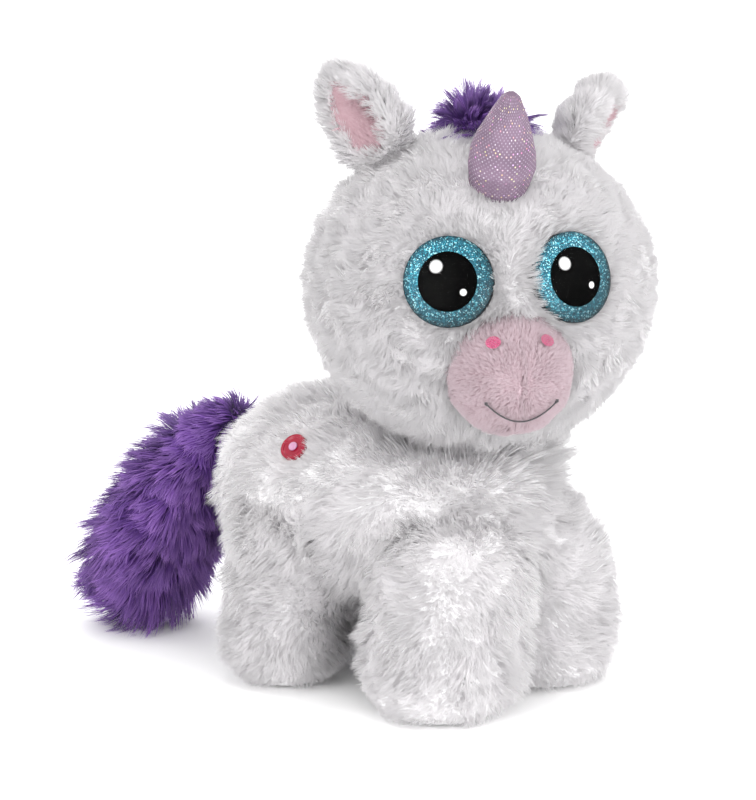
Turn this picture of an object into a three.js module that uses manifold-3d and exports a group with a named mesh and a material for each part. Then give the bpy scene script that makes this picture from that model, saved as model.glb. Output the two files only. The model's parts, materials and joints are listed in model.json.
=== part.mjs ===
// A stuffed toy unicorn about 250 mm tall, in millimetres, +Z up, facing -Y.
// Each fabric skin is a shell that holds its own stuffing, and each eye is a stack of plastic parts
// locked through the head skin. The skins follow the pressed-down pile; loose pile stands further out.
import * as THREE from "three";
import { mergeVertices } from "three/addons/utils/BufferGeometryUtils.js";
import Module from "manifold-3d";

const wasm = await Module();
wasm.setup();

// ---------------------------------------------------------------- driving dimensions

const GAP = 0.3; // between pieces that touch
const SKIN = 5; // long pile fabric, backing and pressed pile together
const SHORT_SKIN = 2; // short pile and foil fabric

const TORSO = { halfWidth: 41, halfHeight: 34, front: -14, rear: 37, height: 71 };
const CHEST = { centre: [0, -20, 78], radii: [35, 34, 28] };

const NECK_Y = -31; // the vertical axis that the head turns on
const NECK = { radius: 14, bottom: 84, top: 110, opening: 17, pivotHeight: 102 };
const HEAD_TURN = -41; // degrees about +Z, to the toy's right
const HEAD = { radii: [60, 58, 54], height: 156 };
const HEAD_CLEARANCE = 6.5; // between the head and the dish in the top of the torso

const LEG = { side: 32, topInset: 9, topHeight: 58, soleThickness: 3 };
const FRONT_LEG = { y: -37, foot: 27, top: 24 };
const HIND_LEG = { y: 37, foot: 20.5, top: 22 };

const MUZZLE = { centre: [0, -51, 135], radii: [22, 25, 23] };
const NOSTRIL = { side: 9.5, rise: 13.5, radii: [2.7, 2.2], thickness: 1 };
const MOUTH = { halfWidth: 12.5, cornerDrop: 7, depth: 7, thread: 0.5 };

const EYE = {
  spread: 22.5, // degrees to each side of the face's middle
  tilt: 14, // degrees upwards
  rise: 12,
  radius: 16.5,
  pupil: 10.8,
  disc: 0.8,
  plate: 1.5,
  domeHeight: 5,
  rim: 1,
  post: 2.2,
  postLength: 15,
  washer: 8,
  washerThickness: 1.5,
};

const EAR = { length: 41, halfWidth: 13, halfThickness: 6, lining: 1.5 };
const EARS = [
  { side: "right", base: [-34, 1, 205], up: [-0.5, 0.33, 0.8], face: [-0.75, -0.62, 0.2] },
  { side: "left", base: [36, 6, 207], up: [0.58, 0.7, 0.38], face: [0.92, -0.2, -0.3] },
];

const HORN = { base: [0, -35, 201], lean: 25, length: 36, radius: 12.5, tip: 3.4 };
const MANE = { centre: [0, 11, 207], radii: [14, 25, 17] };

const TAIL = {
  root: [0, 80, 94],
  bend: [0, 108, 80],
  end: [0, 139, 9],
  rootHalfWidth: 9,
  halfWidth: 29,
  halfDepth: 20,
};

const BUTTON = { y: 29, angle: 49, radius: 5.5, thickness: 2.2, centre: 1.8, shank: 1.1 };

const WHITE = 0xe9e6e8;
const STUFFING = 0xf4f2ee;
const PINK = 0xeebcc6;
const EAR_PINK = 0xeba7b6;
const PURPLE = 0x5e3a8c;
const LILAC = 0xa98bbd;
const BEIGE = 0xe2cfc8;

// ---------------------------------------------------------------- solids

const vec = (p) => new THREE.Vector3(...p);

function solid(geometry) {
  const bare = geometry.clone();
  bare.deleteAttribute("normal");
  bare.deleteAttribute("uv");
  const merged = mergeVertices(bare, 1e-4);
  return new wasm.Manifold(
    new wasm.Mesh({
      numProp: 3,
      vertProperties: new Float32Array(merged.attributes.position.array),
      triVerts: new Uint32Array(merged.index.array),
    }),
  );
}

function geometryOf(shape) {
  const mesh = shape.getMesh();
  const geometry = new THREE.BufferGeometry();
  geometry.setAttribute("position", new THREE.BufferAttribute(mesh.vertProperties, 3));
  geometry.setIndex(new THREE.BufferAttribute(mesh.triVerts, 1));
  geometry.computeVertexNormals();
  return geometry;
}

// An ellipsoid; grow moves its surface outwards.
function ellipsoid(centre, radii, detail, grow = 0) {
  const geometry = new THREE.IcosahedronGeometry(1, detail);
  geometry.scale(...radii.map((r) => r + grow));
  geometry.translate(...centre);
  return solid(geometry);
}

// A solid of revolution about +Z from [radius, height] points, then placed by a matrix.
function turned(points, segments, matrix) {
  const profile = points.map(([r, z]) => new THREE.Vector2(r, z));
  const geometry = new THREE.LatheGeometry(profile, segments);
  geometry.rotateX(Math.PI / 2);
  if (matrix) geometry.applyMatrix4(matrix);
  return solid(geometry);
}

function disc(radius, bottom, top, segments, matrix) {
  const points = [
    [0, bottom],
    [radius, bottom],
    [radius, top],
    [0, top],
  ];
  return turned(points, segments, matrix);
}

// A frame whose +Z is the given direction, with +X kept level, at a point.
function facing(point, direction) {
  const z = vec(direction).normalize();
  const x = new THREE.Vector3(0, 0, 1).cross(z).normalize();
  const y = new THREE.Vector3().crossVectors(z, x);
  return new THREE.Matrix4().makeBasis(x, y, z).setPosition(...point);
}

// ---------------------------------------------------------------- scene graph

const unicorn = new THREE.Group();
const head = new THREE.Group();
head.position.y = NECK_Y;
head.rotation.z = THREE.MathUtils.degToRad(HEAD_TURN);
unicorn.add(head);

function add(parent, name, shape, color, roughness = 0.95, metalness = 0) {
  const material = new THREE.MeshStandardMaterial({ color, roughness, metalness });
  const mesh = new THREE.Mesh(geometryOf(shape), material);
  mesh.name = name;
  parent.add(mesh);
}

// ---------------------------------------------------------------- torso and legs

function torsoShape(grow) {
  const length = TORSO.rear - TORSO.front;
  const radius = TORSO.halfWidth + grow;
  const barrel = new THREE.CapsuleGeometry(radius, length, 5, 20, 2);
  barrel.scale(1, 1, (TORSO.halfHeight + grow) / radius);
  barrel.translate(0, (TORSO.rear + TORSO.front) / 2, TORSO.height);
  const chest = ellipsoid(CHEST.centre, CHEST.radii, 3, grow);
  const [rx, ry, rz] = HEAD.radii.map((r) => r + HEAD_CLEARANCE - grow);
  const dish = ellipsoid([0, NECK_Y, HEAD.height], [rx, ry, rz], 3);
  return solid(barrel).add(chest).subtract(dish);
}

// A leg's inside or outside, leaning in towards the torso as it rises.
function legShape(leg, side, inset, bottom) {
  const foot = leg.foot - inset;
  const top = leg.top - inset;
  const round = 7;
  const lean = new THREE.Matrix4().makeShear(0, 0, 0, 0, -leg.lean * side, 0);
  const place = new THREE.Matrix4().makeTranslation(side * LEG.side, leg.y, 0);
  const points = [
    [0, bottom],
    [foot - round, bottom],
    [foot - round * 0.3, bottom + round * 0.3],
    [foot, bottom + round],
    [foot - (foot - top) * 0.4, 34],
    [top, LEG.topHeight],
    [top * 0.7, LEG.topHeight + 9],
    [0, LEG.topHeight + 12],
  ];
  return turned(points, 16, place.multiply(lean));
}

const neckColumn = (radius, bottom, top) =>
  disc(radius, bottom, top, 28, new THREE.Matrix4().makeTranslation(0, NECK_Y, 0));

const legs = [];
for (const [row, size] of [
  ["front", FRONT_LEG],
  ["hind", HIND_LEG],
]) {
  for (const [name, side] of [
    ["right", -1],
    ["left", 1],
  ]) {
    const leg = { ...size, lean: LEG.topInset / LEG.topHeight };
    const place = new THREE.Matrix4().makeTranslation(side * LEG.side, leg.y, 0);
    legs.push({
      name: `${row}_${name}`,
      outside: legShape(leg, side, 0, GAP),
      inside: legShape(leg, side, SKIN, LEG.soleThickness + GAP),
      passage: legShape(leg, side, SKIN - GAP, LEG.soleThickness),
      sole: disc(leg.foot - 7, 0, LEG.soleThickness, 18, place),
      soleHole: disc(leg.foot - 7 + GAP, -1, LEG.soleThickness + 2 * GAP, 18, place),
    });
  }
}

function buildTorso() {
  const buttonSeat = buttonParts();
  let skin = torsoShape(0).subtract(torsoShape(-SKIN));
  for (const leg of legs) skin = skin.subtract(leg.passage);
  skin = skin.subtract(neckColumn(NECK.opening, 80, 120)).subtract(buttonSeat.hole);
  add(unicorn, "torso_skin", skin, WHITE);
  const filling = torsoShape(-SKIN - GAP)
    .subtract(neckColumn(NECK.radius + 1, NECK.bottom - 1, 130))
    .subtract(buttonSeat.hole);
  add(unicorn, "torso_stuffing", filling, STUFFING);
  add(unicorn, "button_disc", buttonSeat.disc, 0xc01838, 0.15);
  add(unicorn, "button_centre", buttonSeat.centre, 0xd9b9dd, 0.25);
  add(unicorn, "button_shank", buttonSeat.shank, 0x8c1830, 0.5);

  const around = torsoShape(GAP);
  const within = torsoShape(-SKIN);
  for (const leg of legs) {
    const shell = leg.outside.subtract(leg.passage).subtract(leg.soleHole).subtract(around);
    add(unicorn, `${leg.name}_leg_skin`, largest(shell), WHITE);
    add(unicorn, `${leg.name}_leg_stuffing`, largest(leg.inside.subtract(within)), STUFFING);
    add(unicorn, `${leg.name}_sole`, leg.sole, BEIGE);
  }
}

const largest = (shape) =>
  shape.decompose().reduce((a, b) => (b.volume() > a.volume() ? b : a));

// The button on the right of the rump: a rimmed disc, its pale centre, and the shank into the skin.
function buttonParts() {
  const angle = THREE.MathUtils.degToRad(BUTTON.angle);
  const across = -Math.sin(angle);
  const rise = Math.cos(angle);
  const reach = Math.hypot(TORSO.halfWidth * across, TORSO.halfHeight * rise);
  const x = (TORSO.halfWidth ** 2 * across) / reach;
  const z = TORSO.height + (TORSO.halfHeight ** 2 * rise) / reach;
  const frame = facing([x, BUTTON.y, z], [across, 0, rise]);
  const r = BUTTON.radius;
  const low = 0.5;
  const high = low + BUTTON.thickness;
  const rimmed = [
    [0, low],
    [r - 0.8, low],
    [r, low + 0.9],
    [r - 0.3, high],
    [r - 1.1, high],
    [r - 1.7, high - 0.6],
    [0, high - 0.6],
  ];
  const cap = [
    [0, high - 0.3],
    [BUTTON.centre, high - 0.3],
    [BUTTON.centre * 0.7, high + 0.3],
    [0, high + 0.5],
  ];
  return {
    disc: turned(rimmed, 28, frame),
    centre: turned(cap, 16, frame),
    shank: disc(BUTTON.shank, -7, low - GAP, 12, frame),
    hole: disc(BUTTON.shank + GAP, -7 - GAP, 2, 12, frame),
  };
}

function buildNeck() {
  const r = NECK.radius;
  const points = [
    [0, NECK.bottom],
    [r - 3, NECK.bottom],
    [r, NECK.bottom + 3],
    [r, NECK.pivotHeight - 3],
    [r - 1, NECK.pivotHeight],
    [r - 1, NECK.top - 3],
    [r - 4, NECK.top],
    [0, NECK.top],
  ];
  const place = new THREE.Matrix4().makeTranslation(0, NECK_Y, 0);
  add(unicorn, "neck_stuffing", turned(points, 28, place), STUFFING);
}

// ---------------------------------------------------------------- head

const headShape = (grow, detail = 5) =>
  ellipsoid([0, 0, HEAD.height], HEAD.radii, detail, grow);

// An eye's frame: +Z looks out, and its origin is the front of the back plate.
function eyeFrame(side) {
  const spread = THREE.MathUtils.degToRad(EYE.spread) * side;
  const tilt = THREE.MathUtils.degToRad(EYE.tilt);
  const [rx, ry, rz] = HEAD.radii;
  const level = Math.sqrt(1 - (EYE.rise / rz) ** 2);
  const point = [
    Math.sin(spread) * rx * level,
    -Math.cos(spread) * ry * level,
    HEAD.height + EYE.rise,
  ];
  const out = [
    Math.sin(spread) * Math.cos(tilt),
    -Math.cos(spread) * Math.cos(tilt),
    Math.sin(tilt),
  ];
  return facing(point, out);
}

function lensProfile() {
  const low = EYE.disc + 2 * GAP;
  const r = EYE.radius;
  const points = [
    [0, low],
    [r, low],
  ];
  const steps = 5;
  for (let i = 0; i <= steps; i++) {
    const angle = (i / steps) * (Math.PI / 2);
    const height = low + EYE.rim + EYE.domeHeight * Math.sin(angle);
    points.push([i === steps ? 0 : r * Math.cos(angle) ** 0.9, height]);
  }
  return points;
}

function eyeParts(side) {
  const frame = eyeFrame(side);
  const r = EYE.radius;
  const washerTop = -EYE.postLength + 4;
  const ring = disc(r, GAP, GAP + EYE.disc, 24, frame);
  const plate = disc(r, -EYE.plate, 0, 24, frame);
  const post = disc(EYE.post, -EYE.postLength, -EYE.plate / 2, 12, frame);
  const washer = disc(EYE.washer, washerTop - EYE.washerThickness, washerTop, 24, frame);
  const bore = disc(EYE.post + GAP, -EYE.postLength - GAP, 1, 12, frame);
  return {
    plate: plate.add(post),
    iris: ring.subtract(disc(EYE.pupil + GAP, -1, 3, 24, frame)),
    pupil: disc(EYE.pupil, GAP, GAP + EYE.disc, 24, frame),
    lens: turned(lensProfile(), 24, frame),
    washer: washer.subtract(bore),
    seat: disc(r + GAP, -EYE.plate - GAP, 12, 24, frame).add(bore),
    pocket: disc(EYE.washer + GAP, -EYE.postLength - 2 * GAP, 1, 24, frame),
  };
}

function buildHead() {
  const eyes = [
    ["right", eyeParts(-1)],
    ["left", eyeParts(1)],
  ];
  let skin = headShape(0).subtract(headShape(-SKIN, 3));
  let filling = headShape(-SKIN - GAP, 3);
  for (const [side, eye] of eyes) {
    skin = skin.subtract(eye.seat);
    filling = filling.subtract(eye.pocket);
    add(head, `${side}_eye_plate`, eye.plate, 0x202024, 0.4);
    add(head, `${side}_eye_iris`, eye.iris, 0x2a8fa8, 0.35, 0.4);
    add(head, `${side}_eye_pupil`, eye.pupil, 0x0a0a0c, 0.2);
    add(head, `${side}_eye_lens`, eye.lens, 0xeef4f6, 0.05);
    add(head, `${side}_eye_washer`, eye.washer, 0xe6e6e0, 0.5);
  }
  const opening = disc(NECK.opening, 90, NECK.top + 3, 28);
  add(head, "head_skin", skin.subtract(opening), WHITE);
  add(head, "head_stuffing", filling.subtract(opening), STUFFING);
}

// ---------------------------------------------------------------- muzzle

// The point and the outward normal where the muzzle's surface passes x and z.
function onMuzzle(x, rise, off) {
  const [cx, cy, cz] = MUZZLE.centre;
  const [rx, ry, rz] = MUZZLE.radii;
  const forward = -ry * Math.sqrt(1 - (x / rx) ** 2 - (rise / rz) ** 2);
  const normal = new THREE.Vector3(x / rx ** 2, forward / ry ** 2, rise / rz ** 2).normalize();
  const point = new THREE.Vector3(cx + x, cy + forward, cz + rise).addScaledVector(normal, off);
  return { point, normal };
}

function nostril(side) {
  const { point, normal } = onMuzzle(NOSTRIL.side * side, NOSTRIL.rise, 0.9);
  const geometry = new THREE.IcosahedronGeometry(1, 2);
  geometry.scale(...NOSTRIL.radii, NOSTRIL.thickness / 2);
  geometry.applyMatrix4(facing(point.toArray(), normal.toArray()));
  return solid(geometry);
}

// A smile: a thread that lies on the muzzle from corner to corner.
function mouthThread() {
  const points = [];
  const steps = 12;
  for (let i = 0; i <= steps; i++) {
    const across = -1 + (2 * i) / steps;
    const drop = MOUTH.cornerDrop + MOUTH.depth * (1 - across ** 2);
    points.push(onMuzzle(MOUTH.halfWidth * across, -drop, MOUTH.thread + 2 * GAP).point);
  }
  const section = new THREE.Shape().absarc(0, 0, MOUTH.thread, 0, 2 * Math.PI);
  const path = new THREE.CatmullRomCurve3(points);
  const options = { extrudePath: path, steps: 14, curveSegments: 4, bevelEnabled: false };
  return solid(new THREE.ExtrudeGeometry(section, options));
}

function buildMuzzle() {
  const outside = ellipsoid(MUZZLE.centre, MUZZLE.radii, 3);
  const inside = ellipsoid(MUZZLE.centre, MUZZLE.radii, 2, -SHORT_SKIN);
  const filling = ellipsoid(MUZZLE.centre, MUZZLE.radii, 2, -SHORT_SKIN - GAP);
  const around = headShape(GAP);
  add(head, "muzzle_skin", outside.subtract(inside).subtract(around), PINK);
  add(head, "muzzle_stuffing", filling.subtract(around), STUFFING);
  add(head, "right_nostril_stitch", nostril(-1), 0xc2416f);
  add(head, "left_nostril_stitch", nostril(1), 0xc2416f);
  add(head, "mouth_stitch", mouthThread(), 0x18151a, 0.8);
}

// ---------------------------------------------------------------- ears

// A leaf as wide as its base, narrowing to the tip; its length is +Z and it opens to -Y.
function leaf(halfWidth, halfThickness, low, high, forward) {
  const geometry = new THREE.IcosahedronGeometry(1, 3);
  geometry.scale(halfWidth, halfThickness, (high - low) / 2);
  geometry.translate(0, -forward, (high + low) / 2);
  const position = geometry.attributes.position;
  for (let i = 0; i < position.count; i++) {
    const along = position.getZ(i) / EAR.length;
    position.setX(i, position.getX(i) * (1.08 - 0.45 * along * along));
  }
  return solid(geometry);
}

function buildEar({ side, base, up, face }) {
  const z = vec(up).normalize();
  const y = vec(face).negate();
  y.addScaledVector(z, -y.dot(z)).normalize();
  const x = new THREE.Vector3().crossVectors(y, z);
  const ear = new THREE.Group();
  ear.applyMatrix4(new THREE.Matrix4().makeBasis(x, y, z).setPosition(...base));
  head.add(ear);
  const { length, halfWidth, halfThickness, lining } = EAR;
  const whole = leaf(halfWidth, halfThickness, -3, length - 3, 0);
  const hollow = leaf(halfWidth - 4, 5, 2, length - 8, 4);
  const cloth = leaf(halfWidth - 4 - GAP, 5 - GAP, 2 + GAP, length - 8 - GAP, 4);
  const front = leaf(halfWidth - 4, 5, 1, length - 7, 4 + lining);
  add(ear, `${side}_ear_outer`, whole.subtract(hollow), WHITE);
  add(ear, `${side}_ear_lining`, largest(cloth.subtract(front).intersect(whole)), EAR_PINK);
}

// ---------------------------------------------------------------- horn and mane

function hornShape(inset) {
  const { base, lean, length, radius, tip } = HORN;
  const frame = new THREE.Matrix4().makeRotationX(THREE.MathUtils.degToRad(lean));
  frame.setPosition(...base);
  const points = [
    [0, -8],
    [radius * 0.86 - inset, -8],
    [radius * 0.96 - inset, length * 0.05],
    [radius - inset, length * 0.2],
    [radius * 0.97 - inset, length * 0.34],
    [radius * 0.86 - inset, length * 0.52],
    [radius * 0.66 - inset, length * 0.71],
    [radius * 0.46 - inset, length * 0.88 - inset],
    [Math.max(tip - inset, 0.8), length - 1.2 - inset],
    [0, length - inset],
  ];
  return turned(points, 16, frame);
}

function buildHornAndMane() {
  const around = headShape(GAP);
  const outside = hornShape(0).subtract(around);
  const shell = outside.subtract(hornShape(SHORT_SKIN));
  add(head, "horn_skin", shell, LILAC, 0.4, 0.4);
  add(head, "horn_stuffing", hornShape(SHORT_SKIN + GAP).subtract(around), STUFFING);
  add(head, "mane_strip", ellipsoid(MANE.centre, MANE.radii, 3).subtract(around), PURPLE);
}

// ---------------------------------------------------------------- tail

// A drooping plume; inset draws its sides and its end in, and start leaves out its first stretch.
function plume(inset, start) {
  const path = new THREE.QuadraticBezierCurve3(vec(TAIL.root), vec(TAIL.bend), vec(TAIL.end));
  const geometry = new THREE.IcosahedronGeometry(1, 3);
  const position = geometry.attributes.position;
  const stop = 1 - (inset * 1.2) / 95;
  for (let i = 0; i < position.count; i++) {
    const x = position.getX(i);
    const y = position.getY(i);
    const along = start + ((stop - start) * (1 - position.getZ(i))) / 2;
    const fullness = Math.sin(Math.min(along / 0.8, 1) * (Math.PI / 2));
    const wide = TAIL.rootHalfWidth + (TAIL.halfWidth - TAIL.rootHalfWidth) * fullness - inset;
    const deep = TAIL.rootHalfWidth + (TAIL.halfDepth - TAIL.rootHalfWidth) * fullness - inset;
    const tangent = path.getTangent(along);
    const across = new THREE.Vector3(0, -tangent.z, tangent.y);
    const point = path.getPoint(along).addScaledVector(across, y * deep);
    position.setXYZ(i, point.x + x * wide, point.y, point.z);
  }
  return solid(geometry);
}

function buildTail() {
  const mouth = ellipsoid(TAIL.root, [5, 12, 5], 4);
  const skin = plume(0, 0).subtract(plume(4, 0.04)).subtract(mouth);
  add(unicorn, "tail_skin", largest(skin), PURPLE);
  add(unicorn, "tail_stuffing", plume(4 + GAP, 0.05), STUFFING);
}

// ---------------------------------------------------------------- assembly

buildTorso();
buildNeck();
buildHead();
buildMuzzle();
EARS.forEach(buildEar);
buildHornAndMane();
buildTail();

// The part's origin is the middle of its box, on the surface it stands on.
const box = new THREE.Box3().setFromObject(unicorn, true);
const middle = box.getCenter(new THREE.Vector3());
unicorn.position.set(-middle.x, -middle.y, -box.min.z);

const part = new THREE.Group();
part.add(unicorn);

export default part;
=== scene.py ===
"""A plush unicorn, built around its CAD frame: cloth skins with real pile, eyes and a foil horn.

Every place comes from the frame. Lengths are in metres, and MM turns millimetres into metres.
"""
import json
import math

import bmesh
import bpy
import numpy as np
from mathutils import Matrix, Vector
from mathutils.kdtree import KDTree

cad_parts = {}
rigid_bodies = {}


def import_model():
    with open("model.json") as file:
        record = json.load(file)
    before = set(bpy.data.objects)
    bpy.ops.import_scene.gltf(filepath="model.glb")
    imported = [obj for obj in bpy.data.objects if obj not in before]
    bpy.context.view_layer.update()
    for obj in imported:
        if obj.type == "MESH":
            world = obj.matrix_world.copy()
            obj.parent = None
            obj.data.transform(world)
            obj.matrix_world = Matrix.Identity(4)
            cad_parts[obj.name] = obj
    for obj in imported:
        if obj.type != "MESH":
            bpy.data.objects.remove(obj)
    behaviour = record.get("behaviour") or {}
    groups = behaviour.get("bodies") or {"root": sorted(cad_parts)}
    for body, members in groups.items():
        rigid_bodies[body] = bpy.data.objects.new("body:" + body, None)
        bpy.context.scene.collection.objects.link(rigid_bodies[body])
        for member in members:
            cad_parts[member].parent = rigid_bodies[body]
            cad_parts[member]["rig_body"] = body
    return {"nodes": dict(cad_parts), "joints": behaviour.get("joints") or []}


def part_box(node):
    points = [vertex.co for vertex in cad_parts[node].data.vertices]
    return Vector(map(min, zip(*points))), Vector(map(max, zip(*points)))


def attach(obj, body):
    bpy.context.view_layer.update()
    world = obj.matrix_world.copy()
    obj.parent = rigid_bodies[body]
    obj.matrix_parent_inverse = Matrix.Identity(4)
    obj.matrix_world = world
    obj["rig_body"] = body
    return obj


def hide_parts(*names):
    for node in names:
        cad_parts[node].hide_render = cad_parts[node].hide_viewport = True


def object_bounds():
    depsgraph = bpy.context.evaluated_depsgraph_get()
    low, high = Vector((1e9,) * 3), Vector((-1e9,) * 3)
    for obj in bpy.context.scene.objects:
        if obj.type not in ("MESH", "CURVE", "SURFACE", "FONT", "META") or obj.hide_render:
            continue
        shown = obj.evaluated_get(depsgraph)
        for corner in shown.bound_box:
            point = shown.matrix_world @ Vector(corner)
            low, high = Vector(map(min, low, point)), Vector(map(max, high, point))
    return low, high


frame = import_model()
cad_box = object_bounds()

MM = 0.001
NODES = frame["nodes"]
JOINTS = {j["name"]: j for j in frame["joints"]}
UP = np.array([0.0, 0.0, 1.0])
PILE_UV = "OFBake"  # one column of the map for each tuft, root to tip

CAMERA = {"azimuth": -52, "elevation": 12.5, "distance": 1.9, "lens": 226}
LOOK_AT = Vector((0.0044, -0.0032, 0.1043))

FLOOR = 0.4 * MM  # no hair reaches lower
REACH = 6.5 * MM  # hair is bent back once it is this far outside the CAD box
SIMULATED_FRAMES = 15
NECK_HOLLOW = 34 * MM  # the radius about the neck joint that the head turns in

# each piece of pile draws its random numbers from its own seed
BODY_SEED, HEAD_SEED, MUZZLE_SEED, MANE_SEED, TAIL_SEED = 100, 200, 300, 400, 500
EAR_SEEDS = {"right": 600, "left": 620}
STUFFING_SEED = 700


# ---- places read from the frame


def unit(v):
    v = np.asarray(v, float)
    return v / np.maximum(np.linalg.norm(v, axis=-1, keepdims=True), 1e-12)


def points_of(*nodes):
    return np.concatenate([[v.co for v in NODES[n].data.vertices] for n in nodes])


def about(p, centre, axis):
    """Each point's height along an axis through the centre, and its distance from the axis."""
    away = p - centre
    height = away @ axis
    return height, np.linalg.norm(away - height[:, None] * axis, axis=1)


def reach_of(p, centre):
    return np.linalg.norm(p - centre, axis=1)


def rising(distance, start, span):
    """0 up to the start, and 1 from a span after it."""
    return np.clip((distance - start) / span, 0, 1)


def falling(distance, start, span):
    """1 up to the start, and 0 from a span after it."""
    return np.clip(1 - (distance - start) / span, 0, 1)


class Place:
    """A centre, a main axis and two axes across it, found from the points of a CAD node."""

    def __init__(self, node, along, away_from):
        p = points_of(node)
        self.centre = (p.min(0) + p.max(0)) / 2
        spread = p - p.mean(0)
        axes = np.linalg.svd(spread, full_matrices=False)[2]
        self.z = axes[0 if along == "longest" else 2]
        if self.z @ (self.centre - away_from) < 0:
            self.z = -self.z
        heights, radii = about(p, self.centre, self.z)
        self.low, self.high, self.radius = heights.min(), heights.max(), radii.max()
        self.x = unit(np.cross(UP, self.z))
        self.y = np.cross(self.z, self.x)

    def at(self, x, y, z):
        return self.centre + x * self.x + y * self.y + z * self.z


def box_centre(node):
    low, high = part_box(node)
    return np.array((low + high) / 2)


NECK = np.array(JOINTS["neck_turn"]["pos_m"])
SIDE = unit(JOINTS["neck_nod"]["axis"])  # the head's left
FACE = np.cross(SIDE, UP)  # where the nose points
HEAD_RADIUS = 60 * MM
HEAD = np.array([NECK[0], NECK[1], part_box("head_skin")[1].z - 0.9 * HEAD_RADIUS])
MUZZLE = box_centre("muzzle_stuffing")
TORSO = box_centre("torso_skin")
TAIL_ROOT = np.array(JOINTS["tail_lift"]["pos_m"])
EYES = {s: Place(f"{s}_eye_pupil", "flat", HEAD) for s in ("right", "left")}
IRIS_RADIUS = Place("right_eye_iris", "flat", HEAD).radius
BUTTON = Place("button_disc", "flat", TORSO)
EARS = {s: Place(f"{s}_ear_outer", "longest", HEAD) for s in ("right", "left")}
HORN = Place("horn_stuffing", "longest", HEAD)


# ---- mesh tools


def link(name, mesh):
    obj = bpy.data.objects.new(name, mesh)
    bpy.context.scene.collection.objects.link(obj)
    return obj


def joined(name, nodes):
    """One new mesh object from copies of CAD nodes."""
    bm = bmesh.new()
    for node in nodes:
        bm.from_mesh(NODES[node].data)
    mesh = bpy.data.meshes.new(name)
    bm.to_mesh(mesh)
    bm.free()
    return link(name, mesh)


def apply_modifiers(obj):
    graph = bpy.context.evaluated_depsgraph_get()
    mesh = bpy.data.meshes.new_from_object(obj.evaluated_get(graph))
    obj.modifiers.clear()
    obj.data = mesh
    mesh.name = obj.name


def coordinates(obj, what="co"):
    data = np.empty(len(obj.data.vertices) * 3)
    obj.data.vertices.foreach_get(what, data)
    return data.reshape(-1, 3)


def set_coordinates(obj, co):
    obj.data.vertices.foreach_set("co", np.ascontiguousarray(co, dtype=np.float32).ravel())
    obj.data.update()


def keep_largest(obj):
    """Deletes every island of the mesh but the one with the most vertices."""
    bm = bmesh.new()
    bm.from_mesh(obj.data)
    islands, seen = [], set()
    for start in bm.verts:
        if start in seen:
            continue
        island, queue = [], [start]
        seen.add(start)
        while queue:
            vert = queue.pop()
            island.append(vert)
            for edge in vert.link_edges:
                other = edge.other_vert(vert)
                if other not in seen:
                    seen.add(other)
                    queue.append(other)
        islands.append(island)
    islands.sort(key=len)
    doomed = [v for island in islands[:-1] for v in island]
    bmesh.ops.delete(bm, geom=doomed, context="VERTS")
    bm.to_mesh(obj.data)
    bm.free()


def remesh(obj, voxel, rounds):
    """Turns the object into one closed, evenly meshed and smoothed skin."""
    voxels = obj.modifiers.new("voxels", "REMESH")
    voxels.mode = "VOXEL"
    voxels.voxel_size = voxel
    smooth = obj.modifiers.new("smooth", "SMOOTH")
    smooth.factor = 0.5
    smooth.iterations = rounds
    apply_modifiers(obj)
    keep_largest(obj)


def fill_hollows(obj, rounds, share):
    """Brings the skin's hollows out towards a much smoothed copy of it, and leaves the rest."""
    rest, normal = coordinates(obj), coordinates(obj, "normal")
    smooth = obj.modifiers.new("smooth", "SMOOTH")
    smooth.iterations = rounds
    apply_modifiers(obj)
    outward = ((coordinates(obj) - rest) * normal).sum(1)
    set_coordinates(obj, rest + normal * (share(rest) * np.maximum(outward, 0))[:, None])


def inflate(obj, pinned, pressure, cap):
    """Blows the skin up by cloth simulation, with the pinned points held and each move capped."""
    rest = coordinates(obj)
    group = obj.vertex_groups.new(name="pinned")
    for index in np.flatnonzero(pinned):
        group.add([int(index)], 1.0, "REPLACE")
    cloth = obj.modifiers.new("cloth", "CLOTH")
    settings = cloth.settings
    settings.quality = 6
    settings.mass = 0.15
    settings.use_pressure = True
    settings.uniform_pressure_force = pressure
    settings.vertex_group_mass = "pinned"
    settings.bending_stiffness = 0.3
    settings.effector_weights.gravity = 0
    scene = bpy.context.scene
    for step in range(1, SIMULATED_FRAMES + 1):
        scene.frame_set(step)
    apply_modifiers(obj)
    scene.frame_set(1)
    obj.vertex_groups.clear()
    move = coordinates(obj) - rest
    size = np.linalg.norm(move, axis=1, keepdims=True)
    set_coordinates(obj, rest + move * np.minimum(1, cap / np.maximum(size, 1e-9)))


def thicken(obj, amount):
    """Moves the skin outwards, by an amount that depends on the place."""
    co = coordinates(obj)
    set_coordinates(obj, co + coordinates(obj, "normal") * amount(co)[:, None])


def subdivide(obj, levels):
    subdivision = obj.modifiers.new("subdivision", "SUBSURF")
    subdivision.levels = subdivision.render_levels = levels
    apply_modifiers(obj)
    obj.data.shade_smooth()


def soft_copy(name, nodes, voxel, rounds):
    """One smooth skin from copies of CAD nodes."""
    obj = joined(name, nodes)
    remesh(obj, voxel, rounds)
    subdivide(obj, 1)
    return obj


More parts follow.
